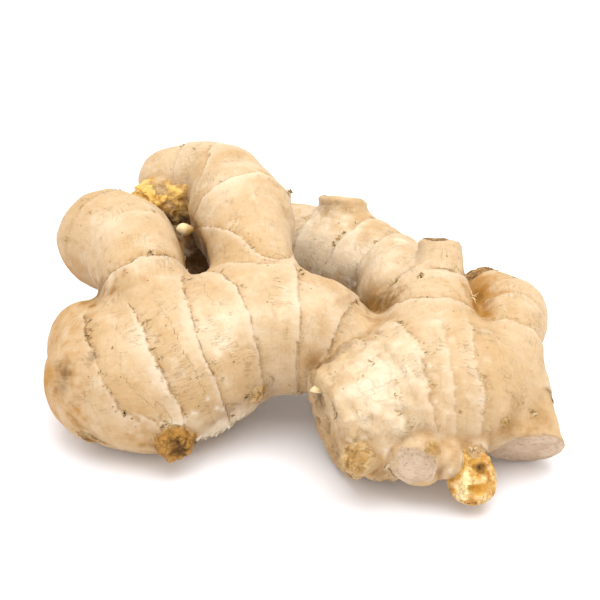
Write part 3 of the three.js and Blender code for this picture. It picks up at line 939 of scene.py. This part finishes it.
def tissue(name, hollow, middle, ridge, low, high, size_mm=1.2, rough=0.6, flesh_share=0.12,
           warm="#A87528", dark="#22140A", folded=0.7):
    """Scar tissue coloured by height: one colour in its hollows, low mm over the skin, one between,
    and one on its ridges, high mm over it. It has dark fine folds, a warm and a dark colour where
    the piece says so, and the skin's own colour where it isn't bare."""
    material, tree = new_material(name)
    node = partial(add, tree)
    place = node("TexCoord").outputs["Object"]
    height, shade, warmth, bare = (
        node("Attribute", dict(attribute_name=value)).outputs["Fac"] for value in FORM_VALUES)
    lumpy, creased, gritty = (
        node("TexNoise", None, (place, 0.5 / (size * MM), detail, coarse))
        for size, detail, coarse in ((size_mm, 4, 0.7), (1.7 * size_mm, 4, 0.7), (0.3, 2, 0.6)))
    mottle = node("Math", PLUS, (node("Math", TIMES, (lumpy, 4)), -2))
    level = node("Math", PLUS, (height, mottle))
    uneven = node("Math", PLUS, (node("Math", TIMES, (mottle, 0.5)), 1))
    fold = node("Math", UNSIGNED, (node("Math", PLUS, (creased, -0.5)),))
    folds = node("MapRange", SPREAD, (fold, 0, 0.035, folded, 0))
    between = (low + high) / 2
    colour = painted(tree, linear(hollow), (
        (level, low, between, 0, 1, middle), (level, between, high, 0, 1, ridge),
        (node("Math", TIMES, (warmth, uneven)), warm), (folds, hollow),
        (node("Math", TIMES, (shade, uneven)), dark)))
    skin_tan = painted(tree, linear("#A58659"), ((mottle, -0.5, 0.5, 0, 1, "#C2A57B"),))
    colour = node("Mix", COLOURS, (bare, skin_tan, colour))
    relief_mm = heights(tree, ((mottle, 0.12), (folds, -0.3), (gritty, 0.12)))
    finish_tissue(tree, colour, rough, relief_mm, flesh_share)
    return material


# Old cork is dull and brown, with lighter ridges and nearly black folds.
cork = tissue("scar_cork_brown_rough", "#37210C", "#76511F", "#A57B3F", -0.3, 1.5, folded=0.45)

EYE_BUD = np.array([-34.5, -52.3, 12.0])
EYE_BUD_RADIUS = 6.6
# Its mouth from its middle, and the turns of its cracks round the mouth, in radians from the front.
MOUTH = (1.6, 0, -0.4)
CRACK_TURNS = (2.2, 0.9, -0.25, -1.3, -2.7)


def eye_bud_form(points):
    """A mound of cork scales round a mouth: ridged clouds, split by dark cracks that run out from
    the mouth and wander."""
    patch = round_patch(points, EYE_BUD, EYE_BUD_RADIUS, 0.18)
    out = points - EYE_BUD - MOUTH
    far = np.hypot(out[:, 0], out[:, 2])
    angle = np.arctan2(out[:, 2], out[:, 0]) + 0.5 * cloud(points, 3.5, 2)
    turned = [np.abs((angle - turn + np.pi) % (2 * np.pi) - np.pi) for turn in CRACK_TURNS]
    crack = np.exp(-(np.min(turned, axis=0) * far / 0.8) ** 2) * ease(5.5, 2.0, far)
    crack = np.maximum(0.7 * crack, np.exp(-(far / 1.7) ** 2))
    lift = 1.0 + 0.6 * ridged(points, 3.0, 3) + 0.4 * ridged(points, 1.3, 4) - 0.9 * crack
    edge = ease(0, 0.35, patch)
    lift = np.maximum(lift, THINNEST) * edge + 0.1 - 1.5 * (1 - ease(0, 0.08, patch))
    # The cracks and the mouth are darker.
    crack_darkness = crack * (0.75 + 0.35 * cloud(points, 1.2, 6))
    return lift, crack_darkness, 0.35 + 0.3 * (1 - edge), ease(0, 0.25, patch)


crust("eye_bud_crust", EYE_BUD, 8.5, eye_bud_form, cork)

# === Root and bud scars =========================================================================
# Round scars where roots and small buds came away from the belly and the front nubs. A low rim of
# lighter cork has healed over each of them.

# Young cork is matt and tan, little darker than the skin.
soft_cork = tissue("scar_cork_tan_rough", "#80602F", "#A88550", "#BFA070", -0.6, 1.0, folded=0.4)


def scar_form(centre, radius, lift, roughness, rim, kind):
    """The form of a round scar: a ragged patch with ridged clouds on it and a rim round it."""
    centre = np.array(centre)

    def form(points):
        patch = round_patch(points, centre, radius, 0.22, kind)
        up = lift + roughness * (0.6 * ridged(points, 0.45 * radius, kind + 1)
                                 + 0.5 * ridged(points, 1.2, kind + 2))
        up += rim * np.exp(-((patch - 0.15) / 0.12) ** 2)
        shade = 0.35 * ease(0.1, -0.6, up - lift)
        up = np.maximum(up, THINNEST) * ease(0, 0.35, patch) + 0.05 - 1.6 * (1 - ease(0, 0.08, patch))
        return up, shade, 0.3 * patch, 0.9 * ease(0, 0.45, patch + 0.1 * cloud(points, 1.0, kind + 3))
    return form


# Each scar's place, radius, height, roughness and height of its rim, in mm, and its cork. The crust
# is worked out a margin past its radius.
SCARS = [
    ("root_scar_left", (-58.3, -45.0, 9.4), 3.5, 0.2, 0.7, 0.4, cork),
    ("root_scar_middle", (-11.9, -39.2, 19.8), 3.4, 0.3, 0.7, 0.3, soft_cork),
    ("round_scar_disc", (15.2, -68.2, 18.8), 5.2, 0.2, 0.55, 0.5, soft_cork),
    ("nub_scar", (35.3, -67.6, 21.8), 2.6, 0.0, 0.35, 0.2, soft_cork),
    ("fold_scar", (55.5, -56.0, 22.5), 2.2, 0.1, 0.6, 0.2, soft_cork),
]
SCAR_MARGIN = 2.5
for number, (name, centre, radius, lift, roughness, rim, material) in enumerate(SCARS):
    form = scar_form(centre, radius, lift, roughness, rim, number % 4)
    crust(name, centre, radius + SCAR_MARGIN, form, material)

# === The torn bud ===============================================================================
# A bud torn off the tip of the middle finger has left bare yellow flesh, pulled into thick ridges of
# fibre, with a tongue to the left and a dark fringe below.

# Torn flesh is moist and yellow, with orange hollows, and light goes a little way into it.
yellow_flesh = tissue("torn_ginger_flesh_yellow_fibrous", "#8F5A1C", "#C48C34", "#DDB866", -1.6, 1.6,
                      size_mm=1.3, rough=0.55, flesh_share=0.25, warm="#B5741C", dark="#3A1F08",
                      folded=0.35)
TORN_BUD = np.array([-42.0, 40.5, 34.0])
TORN_BUD_SIZE = (10.5, 10.0, 8.5)
TONGUE = (-50.0, 38.5, 38.5)
TONGUE_TIP = (-53.0, 38.5, 39.0)
ORANGE_HOLLOW = (-47.0, 35.5, 34.5)


def spot(points, centre, reach):
    """1 at a centre, falling off as a Gaussian bump with this reach."""
    return np.exp(-((points - centre) ** 2).sum(1) / reach ** 2)


def torn_bud_form(points):
    """Torn fibrous flesh all over the boss at the middle finger's tip: thick ridges that run down
    from the finger, a tongue to the left with a brown tip, orange hollows, a dark fringe below, and
    a right side that passes into the skin."""
    tear = clouds(points, ((1, 4.5, 2), (0.6, 1.8, 5)))
    patch = 1 - np.linalg.norm((points - TORN_BUD) / TORN_BUD_SIZE, axis=1) + 0.3 * tear
    drawn = points * (1.0, 0.5, 1.0)
    lift = 0.9 + 1.1 * ridged(drawn, 4.0, 3) + 0.6 * ridged(drawn, 1.7, 4) + 0.3 * cloud(points, 0.8, 5)
    lift += 1.6 * spot(points, TONGUE, 3.6)
    below = 0.85 * ease(34.5, 32.0, points[:, 2] + 1.2 * tear)
    tip = 0.7 * spot(points, TONGUE_TIP, 1.8)
    warm = 0.8 * spot(points, ORANGE_HOLLOW, 4.0) + 0.45 * ease(0, -0.5, tear)
    right = ease(-43, -36, points[:, 0] + 2 * tear)
    bare = ease(0, 0.3, patch + 0.1 * tear) * (1 - 0.1 * right)
    lift = np.maximum(lift, THINNEST) * ease(0, 0.3, patch) + 0.05
    lift -= 2.4 * (1 - ease(0, 0.08, patch))
    return lift, np.maximum(below, tip), np.clip(warm, 0, 1), bare


crust("torn_bud_flesh", TORN_BUD, 14.0, torn_bud_form, yellow_flesh, cell=0.38, depth=1.0)

# === The young bud ==============================================================================
# The broken end of a young bud at the front: waxy, golden bare flesh, with a slit under a raised lip
# where a root came out.

# Young flesh is waxy and golden, and nearly cream on its ridges.
golden_flesh = tissue("young_ginger_flesh_golden_waxy", "#9A661A", "#CFA24E", "#E8D4A0", -0.8, 1.5,
                      size_mm=1.4, rough=0.5, flesh_share=0.25, warm="#B97F24", dark="#2E1A06",
                      folded=0.45)
# Its skin ends this far along it, in mm.
YOUNG_BUD_SKIN = 15.0


def along_finger(points, name):
    """How far along the finger each point lies, and its distance to the finger's own skin."""
    distance, along = finger_distance(points.astype(np.float32), paths[name])
    return along, distance


def yellow_bud_form(points):
    """Ridged clouds past the last ring, golden with a cream stripe down the left side, a dark slit
    under a raised lip as a Gaussian dent and bump, and a ragged lower end."""
    along, distance = along_finger(points, "yellow_bud")
    bare = along - YOUNG_BUD_SKIN + 1.2 * cloud(points, 2.5, 2)
    low = ease(10.5, 6.5, points[:, 2])
    # The slit is dented, and its dark colour, returned as shade, is painted shade.
    slit = spot(points * (1, 1, 1.5), (48.2, -66.8, 22.2), 1.7)
    lip = spot(points, (48.4, -66.2, 17.0), 1.6)
    lift = 0.7 + 0.6 * ridged(points, 4.0, 3) + (0.35 + 0.6 * low) * ridged(points, 1.7, 4)
    lift = np.maximum(lift + 0.6 * lip - 1.6 * slit, THINNEST)
    stripe = np.exp(-((points[:, 0] - 43.6 + 0.8 * cloud(points, 3.0, 5)) / 1.9) ** 2)
    golden = 0.6 - 0.6 * stripe * ease(6, 9, points[:, 2]) + 0.5 * cloud(points, 1.6, 1)
    lift = lift * ease(0, 1.5, bare) + 0.05 - 2.0 * (1 - ease(0, 0.3, bare))
    lift -= 2.0 * ease(1.6, 2.4, distance)
    return lift, slit, np.clip(golden, 0, 1), ease(0, 1.6, bare)


crust("young_bud_flesh", (46.2, -65.0, 11.0), 8.5, yellow_bud_form, golden_flesh, cell=0.32)

# === The hooked finger's end ====================================================================
# The hooked finger was snapped off behind. Its end is closed by fibrous cork, dark and full of pits.

# Its skin ends this far along it, in mm.
HOOK_SKIN = 47.0


def hook_end_form(points):
    """Ridged clouds past the end of the skin, with dark pits where a fine cloud is low."""
    along, distance = along_finger(points, "hooked_finger")
    bare = along - HOOK_SKIN + 1.5 * cloud(points, 2.5, 1)
    lift = 0.2 + 0.4 * ridged(points, 1.8, 2) + 0.35 * cloud(points, 0.8, 3)
    pits = ease(0.15, -0.25, cloud(points, 1.1, 6))
    lift = np.maximum(lift, THINNEST) - 2.0 * (1 - ease(0, 0.6, bare)) - 2.0 * ease(0.9, 1.6, distance)
    return lift, 0.5 * pits, np.full(len(points), 0.4), ease(0, 1.2, bare)


crust("hook_end_cork", (51.0, 7.0, 23.0), 10.0, hook_end_form, soft_cork, cell=0.36)

# === Small new shoots ===========================================================================
# Two new shoots push out between the scales: smooth cream drops, one at the blunt end and one in the
# gap between the fingers.

# A shoot's flesh is smooth, waxy and cream, and lets the most light in.
cream_flesh = tissue("young_shoot_cream_waxy", "#B07E2C", "#D8B468", "#E5D3A8", -1.2, 0.9,
                     size_mm=2.5, rough=0.38, flesh_share=0.35, warm="#BF8A28", folded=0.25)


def drop(name, base, tip, radius, material, power=0.7, turns=28, rows=22):
    """A drop from its base to its tip: a circle swept along the axis, whose radius goes as the sine
    of the share of the length to a power: below 1 it is fat near the base, above 1 near the tip."""
    base, tip = np.array(base, float), np.array(tip, float)
    ahead = unit(tip - base)
    side = unit(np.cross(ahead, (0.2, 0.3, 1.0)))
    up = np.cross(side, ahead)
    share = np.linspace(0, 1, rows)
    width = radius * np.sin(np.pi * share ** power) ** 0.7
    axis = base + share[:, None] * (tip - base)
    angle = np.linspace(0, 2 * np.pi, turns, endpoint=False)
    rays = np.cos(angle)[:, None] * side + np.sin(angle)[:, None] * up
    points = axis[:, None] + width[:, None, None] * rays
    faces = disc_faces(rows, turns)[:, ::-1]
    high = np.repeat(share, turns)
    return make_piece(name, points.reshape(-1, 3), faces, material,
                      dict(high=high, warm=0.5 * (1 - high), bare=np.ones(len(high))))


drop("blunt_end_bud", (8.0, -50.0, 30.0), (2.6, -50.6, 28.6), 1.5, cream_flesh)
drop("gap_bud", (-29.5, 18.0, 38.0), (-36.5, 15.4, 39.8), 1.9, cream_flesh, 1.9)

# === Papery scales ==============================================================================
# The leaf sheaths have dried and rubbed off. What is left of them is ragged papery flakes, most of
# them along the rings, a few bigger loose scales, and skin that has peeled under the waist.

dice = np.random.default_rng(7)


def laid_on_skin(points, lift):
    """Points moved onto the skin with its relief, and then off it by a lift in mm."""
    on = onto_skin(points, field, slopes, 3)
    out = outward(on)
    rise = skin_relief(on, sample(flowed_grid, on))[0]
    return on + out * (rise + lift)[:, None]


def flakes(name, roots, ahead, length, width, lift, material, rows=6, columns=5):
    """Papery flakes, one at each root place on the skin. Each is a small sheet that runs ahead along
    the skin, narrows with the square of the way along it, has ragged sides and a ragged free end,
    and rises off the skin with the square of the way along it too, most at its corners."""
    count = len(roots)
    out = outward(roots)
    ahead = unit(ahead - (ahead * out).sum(1, keepdims=True) * out)
    side = np.cross(out, ahead)
    along = np.linspace(0, 1, rows)[None, :, None]
    across = np.linspace(-1, 1, columns)[None, None, :]
    torn = 1 + 0.35 * dice.standard_normal((count, 1, columns)) * along
    reach = along * torn * length[:, None, None]
    wide = across * width[:, None, None] * (1 - 0.55 * along ** 2)
    wide = wide + 0.12 * width[:, None, None] * dice.standard_normal((count, rows, 1))
    points = roots[:, None, None] + reach[..., None] * ahead[:, None, None]
    points = points + wide[..., None] * side[:, None, None]
    rise = -0.1 + lift[:, None, None] * (along ** 2 * (0.6 + 0.4 * across ** 2)) * np.ones(torn.shape)
    points = laid_on_skin(points.reshape(-1, 3), rise.ravel())
    row, column = np.meshgrid(np.arange(rows - 1), np.arange(columns - 1), indexing="ij")
    here = (row * columns + column).ravel()
    quad = np.stack([here, here + columns, here + columns + 1, here + 1], 1)
    faces = (np.arange(count)[:, None, None] * rows * columns + quad).reshape(-1, 4)
    high = np.broadcast_to(along, (count, rows, columns)).ravel()
    return make_piece(name, points, faces, material, dict(high=high, bare=np.ones(len(high))))


def finger_ahead(points, step=0.5):
    """The direction along the finger at each point: the way the length along it grows fastest,
    from how much it grows over a step along each axis."""
    flat = np.zeros(len(points))
    here, *ahead = (skin_relief(points + offset, flat)[1]["grain"][:, 0]
                    for offset in step * np.vstack([np.zeros(3), np.eye(3)]))
    slope = np.stack([np.clip(length - here, -step, step) for length in ahead], 1)
    return unit(slope + 1e-6)


# A dry leaf scale is thin, tan and matt like paper; peeled skin shows its paler inner side.
paper = tissue("dry_leaf_scale_papery", "#B59A70", "#C4AD87", "#A98756", -0.2, 1.3,
               size_mm=1.5, flesh_share=0, folded=0.3)
peel = tissue("peeled_skin_pale_papery", "#C9B597", "#D8CAB4", "#BFA27A", -0.2, 1.6,
              size_mm=1.5, rough=0.5, flesh_share=0, folded=0.2)

# Flakes sit just before the rings, the more the browner the ring, and here and there on dry skin.
FLAKES = 420
ring_chance = np.exp(-((facts["ring"] + 0.2) / 0.5) ** 2) * (0.1 + facts["brown"]) * facts["own"]
flake_chance = ring_chance + 0.05 * facts["dry"] + 0.0015
flake_chance *= (skin_points[:, 2] > 4) & (crevice < 0.8)
picked = dice.choice(len(skin_points), FLAKES, False, flake_chance / flake_chance.sum())
flake_roots = skin_points[picked]
flakes("leaf_scale_flakes", flake_roots, finger_ahead(flake_roots), dice.uniform(0.7, 2.2, FLAKES),
       dice.uniform(0.5, 1.5, FLAKES), dice.uniform(0.15, 0.6, FLAKES), paper)

# Bigger loose scales and peeled skin: root, the way each runs, and its length, width and lift in mm.
LOOSE_SCALES = np.array([
    (-9.0, -38.5, 22.0, 0.9, -0.2, 0.3, 2.4, 1.4, 0.6),
    (-14.0, -40.5, 20.0, -0.8, -0.3, 0.4, 2.2, 1.3, 0.5),
    (28.5, -12.0, 41.0, -0.7, 0.3, 0.4, 3.0, 1.6, 0.6),
    (33.0, -14.0, 42.5, 0.3, 0.8, 0.4, 2.4, 1.3, 0.4),
    (24.5, -64.5, 17.5, -0.5, -0.3, -0.8, 2.8, 1.6, 0.5),
    (57.5, -55.0, 21.0, -0.7, -0.2, 0.6, 3.0, 1.5, 0.5),
    (61.5, -52.5, 22.0, 0.8, -0.3, 0.4, 3.0, 1.6, 0.5),
    (-3.6, 26.0, 44.0, 0.5, 0.1, 0.8, 2.6, 1.2, 1.4),
])
PEELED = np.array([
    (-28.5, -47.0, 11.0, 0.5, -0.4, -0.8, 3.2, 1.8, 1.0),
    (-26.0, -45.5, 10.5, 0.3, -0.4, -0.9, 3.8, 2.0, 1.3),
    (-23.5, -44.2, 10.5, 0.3, -0.3, -0.9, 3.6, 2.2, 1.4),
    (-21.0, -43.0, 10.5, 0.2, -0.4, -0.9, 3.0, 1.8, 1.1),
    (-18.5, -42.0, 11.5, 0.3, -0.4, -0.8, 3.0, 1.9, 1.0),
    (-15.5, -41.0, 13.0, 0.4, -0.4, -0.8, 2.6, 1.6, 0.7),
])
for name, places, material in (("loose_scales", LOOSE_SCALES, paper), ("peeled_skin", PEELED, peel)):
    loose_roots = onto_skin(places[:, :3], field, slopes, 4)
    flakes(name, loose_roots, places[:, 3:6], *places[:, 6:].T, material, 9, 7)

# === Root hairs and fibres ======================================================================
# Fine root hairs are left at the rings and in the folds. A little white rootlet sprouts in the hollow
# beside the hooked finger, and torn fibres hang from the torn bud.

# Root fibre is cream and dull.
fibre = tissue("root_fibre_cream", "#C9A868", "#D9C08F", "#E6D6B4", -1.0, 1.0,
               size_mm=1.5, flesh_share=0, folded=0)


def hairs(name, roots, ahead, length, thickness, material, rows=6, sides=4):
    """Thin tapered tubes that start in the skin, bend to a random side with the square of the way
    along them, and end in a point."""
    count = len(roots)
    bend = unit(dice.standard_normal((count, 3)))
    share = np.linspace(0, 1, rows)[None, :, None]
    way = share * ahead[:, None] + 0.5 * share ** 2 * bend[:, None]
    axis = roots[:, None] + length[:, None, None] * way
    side = unit(np.cross(ahead, bend))
    up = np.cross(ahead, side)
    angle = np.linspace(0, 2 * np.pi, sides, endpoint=False)
    rays = np.cos(angle)[:, None] * side[:, None] + np.sin(angle)[:, None] * up[:, None]
    width = thickness * (1 - share)
    points = axis[:, :, None] + width[..., None] * rays[:, None]
    faces = (np.arange(count)[:, None, None] * rows * sides + disc_faces(rows, sides)).reshape(-1, 4)
    high = np.broadcast_to(share, (count, rows, sides)).ravel()
    return make_piece(name, points.reshape(-1, 3), faces, material,
                      dict(high=high, bare=np.ones(len(high))))


HAIRS = 380
folded = (crevice > 0.5) * (crevice < 0.9) * (skin_points[:, 2] > 6)
hair_chance = ring_chance + 0.3 * folded + 0.01
hair_picked = dice.choice(len(skin_points), HAIRS, False, hair_chance / hair_chance.sum())
hair_roots = skin_points[hair_picked]
hair_out = outward(hair_roots) + 0.7 * unit(dice.standard_normal((HAIRS, 3)))
hairs("root_hairs", laid_on_skin(hair_roots, np.full(HAIRS, -0.1)), unit(hair_out),
      dice.uniform(0.4, 1.3, HAIRS), 0.055, paper)


def tuft(name, centre, count, ahead, scatter, length, thickness, material):
    """Hairs from about one place: each runs ahead with a random turn, from a random place near on
    the skin."""
    roots = onto_skin(np.array(centre) + scatter * dice.standard_normal((count, 3)), field, slopes, 4)
    way = unit(np.array(ahead) + 0.8 * dice.standard_normal((count, 3)))
    hairs(name, roots, way, dice.uniform(0.6, 1.0, count) * length, thickness, material)


tuft("rootlet", (47.6, -14.0, 34.5), 9, (0.2, -0.9, 0.3), 0.25, 3.4, 0.3, fibre)
tuft("torn_fibres", (-40.3, 33.8, 34.0), 34, (-0.3, -0.6, -0.7), 1.6, 4.0, 0.18, fibre)
tuft("nub_hairs", (12.0, -64.5, 13.0), 60, (-0.5, -0.5, -0.5), 2.4, 2.0, 0.06, paper)
tuft("bud_hairs", (50.6, -66.0, 11.0), 3, (0.8, -0.2, -0.6), 0.8, 2.6, 0.08, cork)

# === The studio =================================================================================
# A white sweep under a big softbox, with pale walls all round: the light is even and soft, and
# the root's shadow is only dark close to where it lies.

FLOOR_HALF = 1.5
floor_mesh = bpy.data.meshes.new("floor")
floor_corners = [(x * FLOOR_HALF, y * FLOOR_HALF, 0) for x, y in ((-1, -1), (1, -1), (1, 1), (-1, 1))]
floor_mesh.from_pydata(floor_corners, [], [(0, 1, 2, 3)])
floor = bpy.data.objects.new("floor", floor_mesh)
bpy.context.collection.objects.link(floor)
floor_material, floor_tree = new_material("white_sweep_matt")
floor_shader = add(floor_tree, "BsdfPrincipled", None,
                   {"Base Color": linear("#F4F5FB"), "Roughness": 0.9})
add(floor_tree, "OutputMaterial", None, {"Surface": floor_shader})
floor_mesh.materials.append(floor_material)

world = bpy.data.worlds.new("pale_studio")
world.use_nodes = True
walls = world.node_tree.nodes["Background"]
walls.inputs["Color"].default_value = linear("#FFFCF8")
walls.inputs["Strength"].default_value = 1.2
bpy.context.scene.world = world

softbox_data = bpy.data.lights.new("softbox", "AREA")
softbox_data.size = 0.9
softbox_data.energy = 8
softbox = bpy.data.objects.new("softbox", softbox_data)
bpy.context.collection.objects.link(softbox)
softbox.location = (0.08, -0.1, 0.9)
softbox.rotation_euler = (0.11, 0.09, 0)

# The camera looks down 33 degrees from the front with a long lens, at the middle of the hand.
CAMERA_DISTANCE = 0.6
CAMERA_DOWN = np.radians(33)
CAMERA_AIM = np.array([-0.00045, 0.00157, 0.025])
CAMERA_LENS = 123.5
CAMERA_FILM = 36
camera_data = bpy.data.cameras.new("camera")
camera_data.lens = CAMERA_LENS
camera_data.sensor_width = CAMERA_FILM
camera = bpy.data.objects.new("camera", camera_data)
bpy.context.collection.objects.link(camera)
back = np.array([0, -np.cos(CAMERA_DOWN), np.sin(CAMERA_DOWN)])
camera.location = CAMERA_AIM + CAMERA_DISTANCE * back
camera.rotation_euler = (np.pi / 2 - CAMERA_DOWN, 0, 0)
bpy.context.scene.camera = camera
bpy.context.scene.view_settings.view_transform = "Standard"
